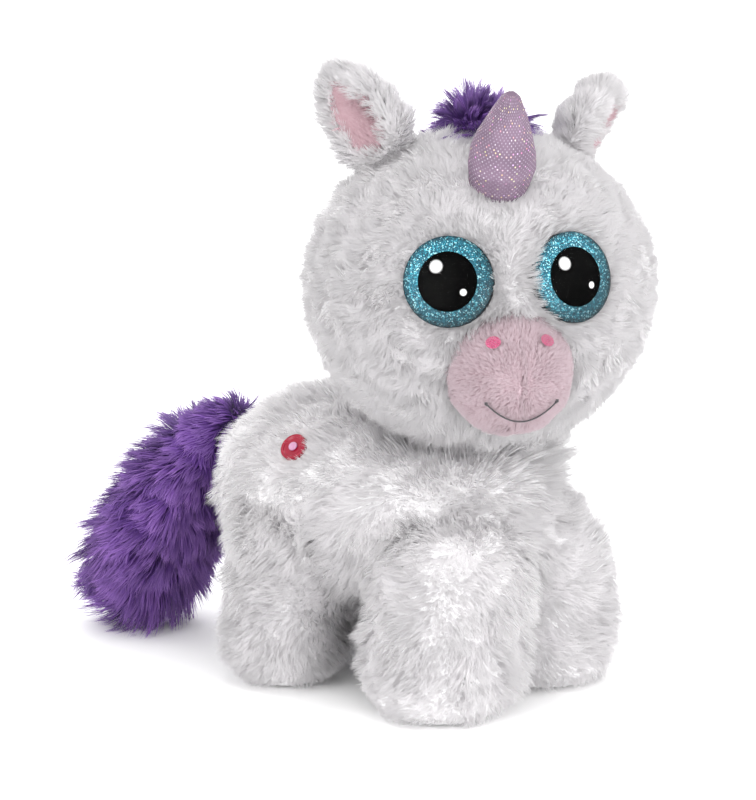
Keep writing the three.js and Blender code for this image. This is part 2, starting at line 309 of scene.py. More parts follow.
def lathe(name, place, profile, segments):
    """A closed smooth solid of revolution about a place's axis.

    The profile is (radius, height) points, and it starts and ends on the axis or where it began.
    """
    rings = []
    verts = []
    for radius, height in profile:
        if radius < 1e-7:
            rings.append([len(verts)])
            verts.append(place.at(0, 0, height))
            continue
        rings.append(list(range(len(verts), len(verts) + segments)))
        for i in range(segments):
            turn = 2 * math.pi * i / segments
            x, y = radius * math.cos(turn), radius * math.sin(turn)
            verts.append(place.at(x, y, height))
    faces = []
    for low, high in zip(rings, rings[1:]):
        for i in range(segments):
            j = (i + 1) % segments
            near, far = low[i % len(low)], low[j % len(low)]
            face = [near, far, high[j % len(high)], high[i % len(high)]]
            faces.append(list(dict.fromkeys(face)))
    mesh = bpy.data.meshes.new(name)
    mesh.from_pydata([tuple(v) for v in verts], [], faces)
    mesh.shade_smooth()
    return link(name, mesh)


def rounded(corners, radius, steps=4):
    """A profile of (radius, height) corners, each inner one rounded off."""
    out = [corners[0]]
    for before, corner, after in zip(corners, corners[1:], corners[2:]):
        corner = np.array(corner, float)
        a = corner + unit(np.array(before) - corner) * radius
        b = corner + unit(np.array(after) - corner) * radius
        for i in range(steps + 1):
            t = i / steps
            out.append(tuple((1 - t) ** 2 * a + 2 * t * (1 - t) * corner + t**2 * b))
    out.append(corners[-1])
    return out


def waves(p, size, seed, count=7):
    """A smooth random field from -1 to 1 or so, whose features are about size across."""
    rng = np.random.default_rng(seed)
    total = np.zeros(len(p))
    for _ in range(count):
        direction = unit(rng.normal(size=3)) * (2 * math.pi / size) * rng.uniform(0.6, 1.3)
        total += np.sin(p @ direction + rng.uniform(0, 2 * math.pi))
    return total / math.sqrt(count * 0.7)


# ---- materials


class Paint:
    """A node material with short calls for the nodes it needs."""

    def __init__(self, name):
        self.material = bpy.data.materials.new(name)
        self.material.use_nodes = True
        self.tree = self.material.node_tree
        self.shader = self.tree.nodes["Principled BSDF"]
        self.output = self.tree.nodes["Material Output"]

    def node(self, kind, inputs=None, **settings):
        made = self.tree.nodes.new("ShaderNode" + kind)
        for key, value in settings.items():
            setattr(made, key, value)
        for key, value in (inputs or {}).items():
            self.set(made.inputs[key], value)
        return made

    def set(self, socket, value):
        if isinstance(value, bpy.types.NodeSocket):
            self.tree.links.new(value, socket)
        else:
            socket.default_value = value

    def surface(self, **values):
        for key, value in values.items():
            socket = key.replace("_", " ").title().replace("Ior", "IOR")
            self.set(self.shader.inputs[socket], value)

    def ramp(self, factor, stops):
        made = self.node("ValToRGB", {"Fac": factor})
        elements = made.color_ramp.elements
        while len(elements) < len(stops):
            elements.new(0.5)
        for element, (position, colour) in zip(elements, stops):
            element.position = position
            element.color = (*colour, 1)
        return made.outputs["Color"]

    def place(self):
        return self.node("TexCoord").outputs["Object"]

    def noise(self, scale, detail=3.0, roughness=0.5):
        values = {"Vector": self.place(), "Scale": scale, "Detail": detail, "Roughness": roughness}
        return self.node("TexNoise", values).outputs["Fac"]

    def distance(self, place, point):
        made = self.node("VectorMath", {0: place, 1: tuple(point)}, operation="DISTANCE")
        return made.outputs["Value"]

    def remap(self, value, low, high, to_low, to_high):
        """Turns low to high into to_low to to_high, and holds the ends."""
        made = self.node("MapRange", {"Value": value})
        names = ("From Min", "From Max", "To Min", "To Max")
        for name, figure in zip(names, (low, high, to_low, to_high)):
            made.inputs[name].default_value = figure
        return made.outputs[0]

    def maths(self, operation, *values):
        made = self.node("Math", operation=operation)
        for socket, value in zip(made.inputs, values):
            self.set(socket, value)
        return made.outputs[0]

    def mix(self, factor, a, b, blend="MIX"):
        made = self.node("Mix", data_type="RGBA", blend_type=blend)
        self.set(made.inputs[0], factor)
        for socket, value in ((made.inputs[6], a), (made.inputs[7], b)):
            self.set(socket, value if isinstance(value, bpy.types.NodeSocket) else (*value, 1))
        return made.outputs[2]

    def bump(self, height, distance, strength=1.0):
        values = {"Height": height, "Distance": distance, "Strength": strength}
        return self.node("Bump", values).outputs["Normal"]

    def let_light_through(self, colour, share):
        """Mixes in light that falls on the far side, as thin fibres let it."""
        glow = self.node("BsdfTranslucent", {"Color": colour}).outputs[0]
        mixed = self.node("MixShader", {0: share, 1: self.shader.outputs[0], 2: glow})
        self.tree.links.new(mixed.outputs[0], self.output.inputs["Surface"])


def pile_paint(name, root, middle, tip, shades, sheen, through):
    """Fibres: the colour runs from root to tip, and differs from tuft to tuft. The darker root is
    painted shade deep in the pile, laid over the fibre's own colour.
    """
    paint = Paint(name)
    uv = paint.node("UVMap", uv_map=PILE_UV).outputs[0]
    parts = paint.node("SeparateXYZ", {"Vector": uv})
    # painted shade: darker towards the root, where the pile shades itself
    along = paint.ramp(parts.outputs["Y"], [(0.0, root), (0.45, middle), (1.0, tip)])
    tuft = paint.ramp(parts.outputs["X"], shades)
    colour = paint.mix(1.0, along, tuft, "MULTIPLY")
    paint.surface(base_color=colour, roughness=0.85, specular_ior_level=0.25)
    paint.surface(sheen_weight=sheen, sheen_roughness=0.5)
    paint.let_light_through(colour, through)
    return paint.material


def cloth_paint(name, dark, light, fine, depth, sheen=0.2):
    """The dense pile and backing under the longer hair."""
    paint = Paint(name)
    height = paint.noise(fine, 4.0, 0.6)
    paint.surface(base_color=paint.ramp(height, [(0.3, dark), (0.7, light)]), roughness=0.95)
    paint.surface(normal=paint.bump(height, depth), sheen_weight=sheen)
    return paint.material


WHITE_SHADES = [(0.0, (0.965, 0.96, 0.965)), (0.5, (0.99, 0.985, 0.985)), (1.0, (1.0, 1.0, 1.0))]
PURPLE_SHADES = [(0.0, (0.5, 0.46, 0.55)), (0.5, (0.85, 0.82, 0.9)), (1.0, (1.25, 1.2, 1.2))]

# each pile's colours run root, middle, tip; the darker root colours are painted shade deep in the
# pile
WHITE_PILE = pile_paint(
    "white_pile",
    (0.9, 0.89, 0.9),
    (0.925, 0.917, 0.925),
    (0.94, 0.933, 0.94),
    WHITE_SHADES,
    0.1,
    0.68,
)
WHITE_CLOTH = cloth_paint("white_cloth", (0.82, 0.81, 0.82), (0.9, 0.893, 0.9), 900, 0.6 * MM)
PURPLE_PILE = pile_paint(
    "purple_pile",
    (0.05, 0.02, 0.11),
    (0.2, 0.085, 0.39),
    (0.42, 0.24, 0.62),
    PURPLE_SHADES,
    0.15,
    0.4,
)
PURPLE_CLOTH = cloth_paint(
    "purple_cloth", (0.012, 0.005, 0.035), (0.05, 0.02, 0.12), 700, 0.8 * MM
)
PINK_SHADES = [(0.0, (0.93, 0.9, 0.9)), (1.0, (1.0, 1.0, 1.0))]
PINK_PILE = pile_paint(
    "pink_pile", (0.5, 0.36, 0.4), (0.59, 0.47, 0.51), (0.64, 0.54, 0.58), PINK_SHADES, 0.1, 0.3
)
PINK_CLOTH = cloth_paint("pink_cloth", (0.52, 0.38, 0.43), (0.61, 0.49, 0.53), 1500, 0.3 * MM)
EAR_PILE = pile_paint(
    "ear_pile", (0.55, 0.3, 0.36), (0.66, 0.43, 0.49), (0.74, 0.56, 0.6), PINK_SHADES, 0.1, 0.3
)
EAR_CLOTH = cloth_paint("ear_cloth", (0.56, 0.3, 0.36), (0.66, 0.42, 0.48), 1500, 0.3 * MM)
SOLE_CLOTH = cloth_paint("sole_cloth", (0.68, 0.55, 0.5), (0.82, 0.71, 0.67), 1500, 0.3 * MM)
FIBRE = cloth_paint("fibre", (0.8, 0.79, 0.77), (0.93, 0.92, 0.9), 260, 1.5 * MM, 0.1)


# ---- pile


def roots(base, count, keep, rng):
    """Points spread evenly over the base skin where keep lets them, and its normals there."""
    mesh = base.data
    mesh.calc_loop_triangles()
    corners = np.empty(len(mesh.loop_triangles) * 3, int)
    mesh.loop_triangles.foreach_get("vertices", corners)
    corners = corners.reshape(-1, 3)
    co = coordinates(base)
    normals = coordinates(base, "normal")
    a, b, c = (co[corners[:, i]] for i in range(3))
    area = np.linalg.norm(np.cross(b - a, c - a), axis=1)
    weight = area * keep((a + b + c) / 3, unit(normals[corners].sum(1)))
    chosen = rng.choice(len(corners), count, p=weight / weight.sum())
    u, v = rng.random(count), rng.random(count)
    flip = u + v > 1
    u[flip], v[flip] = 1 - u[flip], 1 - v[flip]
    share = np.stack([1 - u - v, u, v], 1)[:, :, None]
    return (co[corners[chosen]] * share).sum(1), unit((normals[corners[chosen]] * share).sum(1))


def within_reach(curves):
    """Bends the hair that leaves the CAD box by more than REACH, so that it ends soon after."""
    low, high = (np.array(corner) for corner in cad_box)
    high = high + REACH
    low = low - REACH
    curves = np.where(curves > high, high + REACH * (1 - np.exp((high - curves) / REACH)), curves)
    curves = np.where(curves < low, low - REACH * (1 - np.exp((curves - low) / REACH)), curves)
    curves[:, :, 2] = np.maximum(curves[:, :, 2], FLOOR)
    return curves


def tree_of(points):
    tree = KDTree(len(points))
    for i, point in enumerate(points):
        tree.insert(point, i)
    tree.balance()
    return tree


def nearest(points, centres):
    """The index of the nearest centre to each point."""
    tree = tree_of(centres)
    return np.array([tree.find(p)[1] for p in points])


def constant(size):
    """The same length of pile all over."""
    return lambda p, n: np.full(len(p), size)


def ribbon_mesh(name, curves, sides, widths, normals, columns):
    """One tapering ribbon for each curve: two points at each level and one at the tip."""
    count, levels = curves.shape[:2]
    per = 2 * (levels - 1) + 1
    verts = np.empty((count, per, 3), np.float32)
    for level in range(levels - 1):
        half = sides * widths[:, level, None] / 2
        verts[:, 2 * level] = curves[:, level] - half
        verts[:, 2 * level + 1] = curves[:, level] + half
    verts[:, -1] = curves[:, -1]
    pattern, starts = [], []
    for level in range(levels - 2):
        starts.append(len(pattern))
        low = 2 * level
        pattern += [low, low + 1, low + 3, low + 2]
    starts.append(len(pattern))
    pattern += [per - 3, per - 2, per - 1]
    loops = (np.array(pattern)[None] + per * np.arange(count)[:, None]).ravel()
    loop_starts = (np.array(starts)[None] + len(pattern) * np.arange(count)[:, None]).ravel()
    mesh = bpy.data.meshes.new(name)
    mesh.vertices.add(count * per)
    mesh.vertices.foreach_set("co", verts.ravel())
    mesh.loops.add(len(loops))
    mesh.loops.foreach_set("vertex_index", loops.astype(np.int32))
    mesh.polygons.add(len(loop_starts))
    mesh.polygons.foreach_set("loop_start", loop_starts.astype(np.int32))
    mesh.update(calc_edges=True)
    mesh.shade_smooth()
    level_of = np.array([*np.repeat(np.arange(levels - 1), 2), levels - 1]) / (levels - 1)
    uv = np.empty((count, len(pattern), 2), np.float32)
    uv[:, :, 0] = columns[:, None]
    uv[:, :, 1] = 0.02 + 0.96 * level_of[pattern][None]
    mesh.uv_layers.new(name=PILE_UV).data.foreach_set("uv", uv.ravel())
    mesh.normals_split_custom_set_from_vertices(np.repeat(normals, per, axis=0))
    return link(name, mesh)


def grow(
    name, base, paint, count, length, comb, seed, keep=None, stand=None, levels=3,
    lean=(15, 70), width=0.42 * MM, swirl=0.8, swirl_size=22 * MM, stray=0.25, uneven=0.18,
    tufted=0.15, tuft_size=9 * MM, rise=0.25, rise_size=14 * MM, tuft=40, grip=0.55,
):
    """Pile on a base skin, one ribbon for each hair.

    comb gives the way the hair lies at each root, length its length and keep where it grows.
    lean is its angle from the skin's normal at root and tip, in degrees; stand straightens it by
    place and rise at random. swirl turns the way it lies, by place, and stray hair by hair. uneven
    and tufted vary the length. Each tuft of so many hairs is drawn together by grip.
    """
    start, end = (math.radians(a) for a in lean)
    rng = np.random.default_rng(seed)
    p, n = roots(base, count, keep or (lambda p, n: 1.0), rng)
    way = comb(p, n)
    way = unit(way - (way * n).sum(1, keepdims=True) * n)
    across = np.cross(n, way)
    turn = swirl * waves(p, swirl_size, seed + 1)
    turn += rng.normal(size=count) * stray
    way = way * np.cos(turn)[:, None] + across * np.sin(turn)[:, None]
    size = length(p, n) * (1 + uneven * rng.uniform(-1, 1, count))
    size *= 1 + tufted * waves(p, tuft_size, seed + 2)
    lift = np.maximum(1 + rise * waves(p, rise_size, seed + 3), 0.4)
    if stand:
        lift *= stand(p)
    curves = np.empty((count, levels, 3))
    curves[:, 0] = p
    for level in range(1, levels):
        share = (level - 0.5) / (levels - 1)
        angle = ((start + (end - start) * share) / lift)[:, None]
        step = n * np.cos(angle) + way * np.sin(angle)
        curves[:, level] = curves[:, level - 1] + step * (size / (levels - 1))[:, None]
    guides = max(1, count // tuft)
    tuft_of = nearest(p, p[:guides])
    hold = grip * np.clip(1 + 0.3 * rng.normal(size=count), 0.2, 1.3)
    for level in range(1, levels):
        share = (hold * (level / (levels - 1)) ** 0.8)[:, None].clip(0, 0.95)
        curves[:, level] += (curves[tuft_of, level] - curves[:, level]) * share
    curves = within_reach(curves)
    tangent = unit(curves[:, -1] - curves[:, 0])
    flat = unit(np.cross(tangent, n))
    roll = rng.uniform(-1, 1, count)[:, None] * math.radians(60)
    sides = flat * np.cos(roll) + np.cross(flat, tangent) * np.sin(roll)
    taper = 1 - np.linspace(0, 1, levels) ** 1.5 * 0.6
    widths = width * rng.uniform(0.7, 1.3, count)[:, None] * taper
    lit = unit(n - (n * tangent).sum(1, keepdims=True) * tangent)
    normals = unit(0.1 * lit + 0.9 * n + 0.04 * rng.normal(size=(count, 3)))
    shade = rng.random(guides)[tuft_of] * 0.75 + 0.25 * rng.random(count)
    columns = 0.04 + 0.92 * np.clip(shade, 0, 1)
    obj = ribbon_mesh(name, curves, sides, widths, normals, columns)
    obj.data.materials.append(paint)
    return obj


def repaint(obj, paint):
    obj.data.materials.clear()
    obj.data.materials.append(paint)


def dress(obj, body, paint=None, nodes=()):
    """Everything the frame needs to know about a finished piece."""
    if paint:
        repaint(obj, paint)
    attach(obj, body)
    if nodes:
        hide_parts(*nodes)
    return obj


# ---- torso and legs

LEGS = ("front_right", "front_left", "hind_right", "hind_left")
BODY_PILE = 8 * MM
UNDERCOAT = 2 * MM  # the dense foot of the pile, which the cloth's skin stands for


def clear_of_neck(p):
    """0 in the hollow that the head turns in, rising to 1 outside it."""
    return rising(reach_of(p, NECK), NECK_HOLLOW, 12 * MM)


def body_skin():
    """Torso and legs sewn as one skin, blown up between its seams."""
    nodes = ["torso_skin", "torso_stuffing", "neck_stuffing"]
    for leg in LEGS:
        nodes += [f"{leg}_leg_skin", f"{leg}_leg_stuffing", f"{leg}_sole"]
    skin = joined("body_skin", nodes)
    remesh(skin, 4 * MM, 16)
    fill_hollows(skin, 200, clear_of_neck)
    co = coordinates(skin)
    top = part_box("neck_stuffing")[0].z + 14 * MM
    near_neck = reach_of(co[:, :2], NECK[:2]) < 24 * MM
    co[near_neck, 2] = np.minimum(co[near_neck, 2], top)
    set_coordinates(skin, co)
    inflate(skin, (co[:, 2] < 6 * MM) | (clear_of_neck(co) < 0.5), 2.5, 2.5 * MM)
    subdivide(skin, 1)
    thicken(skin, body_undercoat)
    return skin


def body_undercoat(p):
    """Thinner towards the soles, the neck and the button."""
    feet = rising(p[:, 2], 3 * MM, 60 * MM)
    button = rising(reach_of(p, BUTTON.centre), 5 * MM, 9 * MM)
    return UNDERCOAT * feet * button * clear_of_neck(p)


def split_body(skin):
    """Cuts the body skin into the torso and the legs, by the CAD skin that a face is nearest."""
    owners = ["torso", *LEGS]
    clouds, labels = [], []
    for i, owner in enumerate(owners):
        node = "torso_skin" if owner == "torso" else f"{owner}_leg_skin"
        cloud = np.array([f.center for f in NODES[node].data.polygons])
        clouds.append(cloud)
        labels += [i] * len(cloud)
    labels = np.array(labels)
    centres = np.array([f.center for f in skin.data.polygons])
    owner_of = labels[nearest(centres, np.concatenate(clouds))]
    parts = {}
    for i, owner in enumerate(owners):
        bm = bmesh.new()
        bm.from_mesh(skin.data)
        bm.faces.ensure_lookup_table()
        doomed = [f for f in bm.faces if owner_of[f.index] != i]
        bmesh.ops.delete(bm, geom=doomed, context="FACES")
        rims = [e for e in bm.edges if e.is_boundary]
        caps = bmesh.ops.holes_fill(bm, edges=rims)["faces"]
        bmesh.ops.triangulate(bm, faces=caps)
        name = "torso_cloth" if owner == "torso" else f"{owner}_leg_cloth"
        mesh = bpy.data.meshes.new(name)
        bm.to_mesh(mesh)
        bm.free()
        mesh.shade_smooth()
        parts[owner] = link(name, mesh)
    return parts


def body_comb(p, n):
    """Down and back, and straight back over the button's front edge."""
    out = np.stack([np.sign(p[:, 0]), np.zeros(len(p)), np.zeros(len(p))], 1)
    near = falling(reach_of(p, BUTTON.centre), 0, 15 * MM)[:, None]
    return (np.array([0, 0.35, -1]) + 0.5 * out) * (1 - near) + np.array([0, 2, -0.4]) * near


def body_length(p, n):
    """Longer below the neck, shorter on the rump, round the feet and the button."""
    size = BODY_PILE * (1 + 0.9 * falling(reach_of(p, NECK), 25 * MM, 16 * MM))
    size *= 1 - 0.25 * rising(p[:, 1], 20 * MM, 30 * MM)
    size *= np.clip(p[:, 2] / (16 * MM), 0.45, 1)
    return size * np.clip(reach_of(p, BUTTON.centre) / (10 * MM), 0.6, 1)


def body_stand(p):
    """How much straighter the pile stands, in the hollow below the head."""
    return 1 + 2.5 * falling(reach_of(p, NECK), 26 * MM, 16 * MM)


def body_keep(p, n):
    beside_button = reach_of(p, BUTTON.centre) > BUTTON.radius - 1.0 * MM
    hidden = (reach_of(p[:, :2], NECK[:2]) < 12 * MM) & (p[:, 2] > NECK[2] - 12 * MM)
    under_foot = (n[:, 2] < -0.75) & (p[:, 2] < 6 * MM)
    return beside_button & ~hidden & ~under_foot


def make_body():
    whole = body_skin()
    parts = split_body(whole)
    bpy.data.objects.remove(whole)
    for i, (owner, skin) in enumerate(parts.items()):
        torso = owner == "torso"
        name = "torso" if torso else f"{owner}_leg"
        pile = grow(
            f"{name}_pile", skin, WHITE_PILE, 64000 if torso else 29000, body_length, body_comb,
            BODY_SEED + 10 * i, keep=body_keep, stand=body_stand, swirl=0.9, swirl_size=30 * MM,
            tuft=14, stray=0.45, grip=0.4, lean=(5, 55), rise=0.3, width=0.33 * MM, tufted=0.22,
            tuft_size=12 * MM,
        )
        dress(pile, "torso")
        dress(skin, "torso", WHITE_CLOTH, [f"{name}_skin"])
    for leg in LEGS:
        place = Place(f"{leg}_sole", "flat", TORSO)
        r = place.radius
        corners = [(0, place.low), (r, place.low), (r, place.high), (0, place.high)]
        sole = lathe(f"{leg}_sole_cloth", place, rounded(corners, 0.9 * MM), 48)
        dress(sole, "torso", SOLE_CLOTH, [f"{leg}_sole"])


# ---- head

HEAD_PILE = 6.2 * MM
FAR = 1.0  # stands for any distance beyond the head, in metres


def head_skin():
    skin = joined("head_cloth", ["head_skin", "head_stuffing"])
    remesh(skin, 4 * MM, 4)
    co = coordinates(skin)
    near_eyes = np.min([reach_of(co, eye.centre) for eye in EYES.values()], 0)
    pinned = (near_eyes < IRIS_RADIUS) | (co[:, 2] < NECK[2] + 8 * MM)
    inflate(skin, pinned, 2.0, 1.5 * MM)
    subdivide(skin, 1)
    thicken(skin, head_undercoat)
    return skin


def head_undercoat(p):
    """Thinner towards the eyes, the muzzle, the horn and the neck."""
    eyes = rising(eye_distance(p), IRIS_RADIUS, 6 * MM)
    muzzle = rising(muzzle_distance(p), 0, 6 * MM)
    horn = rising(horn_distance(p), 9 * MM, 8 * MM)
    return 0.6 * UNDERCOAT * eyes * muzzle * horn * clear_of_neck(p)


def sideways(p):
    return (p - HEAD) @ SIDE


def eye_distance(p):
    """The distance to the nearer eye's axis, for points in front of its back plate."""
    out = []
    for eye in EYES.values():
        height, flat = about(p, eye.centre, eye.z)
        out.append(np.where(height > -14 * MM, flat, FAR))
    return np.min(out, 0)


def muzzle_distance(p):
    """The distance outside the muzzle's edge."""
    depth, flat = about(p, MUZZLE, FACE)
    return np.where(depth > -20 * MM, flat - 20 * MM, FAR)


def horn_distance(p):
    return about(p, HORN.centre, HORN.z)[1]


def head_keep(p, n):
    clear = (eye_distance(p) > IRIS_RADIUS - 0.3 * MM) & (muzzle_distance(p) > -3.5 * MM)
    clear &= (horn_distance(p) > 10.5 * MM) | ((p - HORN.centre) @ HORN.z < -40 * MM)
    hidden = reach_of(p[:, :2], NECK[:2]) < 18 * MM
    return clear & ~(hidden & (p[:, 2] < HEAD[2]))


def head_length(p, n):
    """Shorter round the eyes, the muzzle and the horn."""
    size = np.full(len(p), HEAD_PILE)
    by_eyes = falling(eye_distance(p), IRIS_RADIUS, 9 * MM)
    size *= 1 + 0.25 * by_eyes + 0.4 * by_eyes * (np.abs(sideways(p)) < 21 * MM)
    size *= np.clip(0.9 + muzzle_distance(p) / (60 * MM), 0.8, 1)
    size *= 1 + 0.7 * np.clip((HEAD[2] - 34 * MM - p[:, 2]) / (14 * MM), 0, 1)
    return size * np.clip(0.45 + (horn_distance(p) - 12 * MM) / (18 * MM), 0.45, 1)


def head_comb(p, n):
    """Away from the middle of the face, and down at the sides."""
    out = unit(p - (HEAD + FACE * 60 * MM + UP * 6 * MM))
    return out - 0.7 * UP


def head_stand(p):
    """How much straighter the pile stands, close round the eyes and the muzzle."""
    by_eyes = falling(eye_distance(p), IRIS_RADIUS, 6 * MM)
    by_muzzle = falling(muzzle_distance(p), 0, 5 * MM)
    return 1 + 3 * by_eyes + 1.5 * by_muzzle


def make_head():
    skin = head_skin()
    zones = {
        "face": lambda f, z: (f > 0) & (z < 0),
        "brow": lambda f, z: (f > 0) & (z >= 0),
        "back": lambda f, z: f <= 0,
    }
    for i, (part, inside) in enumerate(zones.items()):

        def zone(p, n, inside=inside):
            return head_keep(p, n) * inside((p - HEAD) @ FACE, p[:, 2] - HEAD[2])

        pile = grow(
            f"head_pile_{part}", skin, WHITE_PILE, 60000 if part == "back" else 44000, head_length,
            head_comb, HEAD_SEED + 10 * i, keep=zone, stand=head_stand, swirl=1.1,
            swirl_size=15 * MM, stray=0.5, tuft=13, grip=0.34, lean=(4, 48), rise=0.3,
            rise_size=10 * MM, width=0.3 * MM, tufted=0.14, tuft_size=7 * MM,
        )
        dress(pile, "head")
    dress(skin, "head", WHITE_CLOTH, ["head_skin"])


# ---- muzzle


def make_muzzle():
    skin = joined("muzzle_cloth", ["muzzle_skin", "muzzle_stuffing"])
    remesh(skin, 2 * MM, 4)
    co = coordinates(skin)
    off_seam = np.abs((co - MUZZLE) @ SIDE)
    behind = (co - MUZZLE) @ FACE < -8 * MM
    inflate(skin, (off_seam < 0.9 * MM) | behind, 3.0, 1.6 * MM)
    subdivide(skin, 1)
    co = coordinates(skin)
    seam = np.exp(-(((co - MUZZLE) @ SIDE) / (1.0 * MM)) ** 2)
    set_coordinates(skin, co - coordinates(skin, "normal") * (seam * 0.8 * MM)[:, None])

    def radiate(p, n):
        return p - (MUZZLE + FACE * 26 * MM - UP * 2 * MM)

    def in_sight(p, n):
        return (p - MUZZLE) @ FACE > -13 * MM

    pile = grow(
        "muzzle_pile", skin, PINK_PILE, 42000, constant(2.3 * MM), radiate, MUZZLE_SEED,
        keep=in_sight, swirl=0.35, swirl_size=12 * MM, tuft=12, grip=0.35, lean=(12, 62),
        tufted=0.1, width=0.26 * MM,
    )
    dress(pile, "head")
    dress(skin, "head", PINK_CLOTH, ["muzzle_skin"])


def thread_paint(name, dark, light, scale):
    """Satin stitches: fine twisted strands side by side."""
    paint = Paint(name)
    values = {"Vector": paint.place(), "Scale": scale, "Distortion": 1.5, "Detail": 1.0}
    strands = paint.node("TexWave", values).outputs["Fac"]
    paint.surface(base_color=paint.ramp(strands, [(0.2, dark), (0.8, light)]), roughness=0.45)
    paint.surface(normal=paint.bump(strands, 0.25 * MM), sheen_weight=0.3)
    return paint.material


def tube(name, path, radii, segments=10):
    """A closed round tube along a path, drawn in to a point at both ends."""
    verts, faces = [], []
    tangents = unit(np.gradient(path, axis=0))
    for point, tangent, radius in zip(path, tangents, radii):
        across = unit(np.cross(tangent, FACE))
        outward = np.cross(across, tangent)
        for i in range(segments):
            turn = 2 * math.pi * i / segments
            verts.append(point + radius * (math.cos(turn) * across + math.sin(turn) * outward))
    for i in range((len(path) - 1) * segments):
        j = i - i % segments + (i + 1) % segments
        faces.append((i, j, j + segments, i + segments))
    faces.append(tuple(range(segments - 1, -1, -1)))
    faces.append(tuple(range(len(verts) - segments, len(verts))))
    mesh = bpy.data.meshes.new(name)
    mesh.from_pydata([tuple(v) for v in verts], [], faces)
    mesh.shade_smooth()
    return link(name, mesh)


def mouth_thread():
    """The smile: one strand laid on the pile, with a small knot at each end."""
    steps, degree = 60, 4
    pts = points_of("mouth_stitch")
    side = (pts - MUZZLE) @ SIDE
    reach = np.linspace(side.min(), side.max(), steps)
    height = np.polyval(np.polyfit(side, pts[:, 2], degree), reach)
    depth = np.polyval(np.polyfit(side, (pts - MUZZLE) @ FACE, degree), reach)
    ends = np.abs(np.linspace(-1, 1, steps))
    depth += (0.75 + 0.9 * ends**4) * MM
    base = MUZZLE * np.array([1, 1, 0])
    path = base + reach[:, None] * SIDE + depth[:, None] * FACE + height[:, None] * UP
    knots = np.exp(-(((ends - 0.96) / 0.035) ** 2))
    radii = (0.3 + 0.45 * knots) * MM
    radii[[0, -1]] = 0.1 * MM
    return tube("mouth_thread", path, radii)


def make_stitches():
    magenta = thread_paint("magenta_thread", (0.5, 0.03, 0.14), (0.78, 0.11, 0.28), 900)
    black = thread_paint("black_thread", (0.01, 0.008, 0.01), (0.05, 0.04, 0.05), 900)
    for side in ("right", "left"):
        node = f"{side}_nostril_stitch"
        patch = joined(f"{side}_nostril", [node])
        co = coordinates(patch)
        middle = co.mean(0)
        set_coordinates(patch, middle + (co - middle) * 1.12 + FACE * 1.1 * MM)
        subdivide(patch, 2)
        dress(patch, "head", magenta, [node])
    dress(mouth_thread(), "head", black, ["mouth_stitch"])


# ---- eyes


EYE_RISE = 1.1 * MM  # from the bottom of the iris to the edge of the printed dome
EYE_CROWN = 2.6 * MM  # from there to the dome's top
LENS_INSIDE, LENS_OUTSIDE = 0.35 * MM, 1.0 * MM  # above the printed dome


def dome_height(radius):
    """How far the printed dome stands above the bottom of the iris, so far from its axis."""
    return EYE_RISE + EYE_CROWN * (1 - (radius / IRIS_RADIUS) ** 2)


def glitter_paint(eye):
    """Teal glitter under a clear coat: small flakes that each tilt and shine their own way. The
    colour carries painted shade: lighter towards the upper left and darker towards the rim.
    """
    paint = Paint("eye_glitter")
    place = paint.place()
    flakes = paint.node("TexVoronoi", {"Vector": place, "Scale": 2600.0})
    tint = paint.node("SeparateColor", {"Color": flakes.outputs["Color"]})
    stops = [
        (0.0, (0.001, 0.03, 0.05)),
        (0.45, (0.003, 0.1, 0.15)),
        (0.8, (0.008, 0.18, 0.26)),
        (0.88, (0.07, 0.5, 0.62)),
        (0.97, (0.5, 0.93, 1.0)),
    ]
    colour = paint.ramp(tint.outputs[0], stops)
    # painted shade of the dome: the glitter is lighter towards the upper left and darker at the
    # rim
    from_top = paint.distance(place, eye.at(-0.6 * eye.radius, eye.radius, eye.high))
    from_middle = paint.distance(place, eye.at(0, 0, eye.high))
    painted_top_light = paint.remap(from_top, 12 * MM, 30 * MM, 0.9, 0.22)
    painted_rim_shade = paint.remap(from_middle, IRIS_RADIUS - 2.2 * MM, IRIS_RADIUS, 1.0, 0.35)
    shade = paint.maths("MULTIPLY", painted_top_light, painted_rim_shade)
    # the painted shade as a grey colour, multiplied into the glitter's own colour
    depth = paint.node("CombineColor", {0: shade, 1: shade, 2: shade}).outputs[0]
    paint.surface(base_color=paint.mix(1.0, colour, depth, "MULTIPLY"), metallic=0.35)
    paint.surface(roughness=0.4, normal=paint.bump(tint.outputs[1], 0.2 * MM, 0.5))
    paint.surface(coat_weight=0.05, coat_roughness=0.03)
    return paint.material


def pupil_paint(eye):
    """Gloss black with two printed white glints."""
    paint = Paint("eye_pupil")
    place = paint.place()
    glow = None
    for x, y, share in ((-0.4, 0.48, 0.19), (0.56, -0.34, 0.1)):
        height = dome_height(math.hypot(x, y) * eye.radius)
        spot = eye.at(x * eye.radius, y * eye.radius, eye.low + height)
        radius = share * eye.radius
        away = paint.distance(place, spot)
        mask = paint.remap(away, radius * 0.75, radius * 1.3, 1.0, 0.0)
        glow = mask if glow is None else paint.maths("MAXIMUM", glow, mask)
    dark = paint.ramp(paint.noise(1500.0), [(0.3, (0.0005,) * 3), (0.7, (0.001,) * 3)])
    colour = paint.mix(glow, dark, (0.95, 0.95, 0.95))
    paint.surface(base_color=colour, roughness=0.3, specular_ior_level=0.02)
    return paint.material


def lens_paint():
    """A clear plastic dome: light passes straight through, and the surface mirrors a little."""
    paint = Paint("eye_lens")
    clear = paint.node("BsdfTransparent").outputs[0]
    mirror = paint.node("BsdfGlossy", {"Roughness": 0.03}).outputs[0]
    smear = paint.ramp(paint.noise(60.0), [(0.3, (0.0003,) * 3), (0.7, (0.0008,) * 3)])
    mixed = paint.node("MixShader", {0: smear, 1: clear, 2: mirror}).outputs[0]
    paint.tree.links.new(mixed, paint.output.inputs["Surface"])
    return paint.material


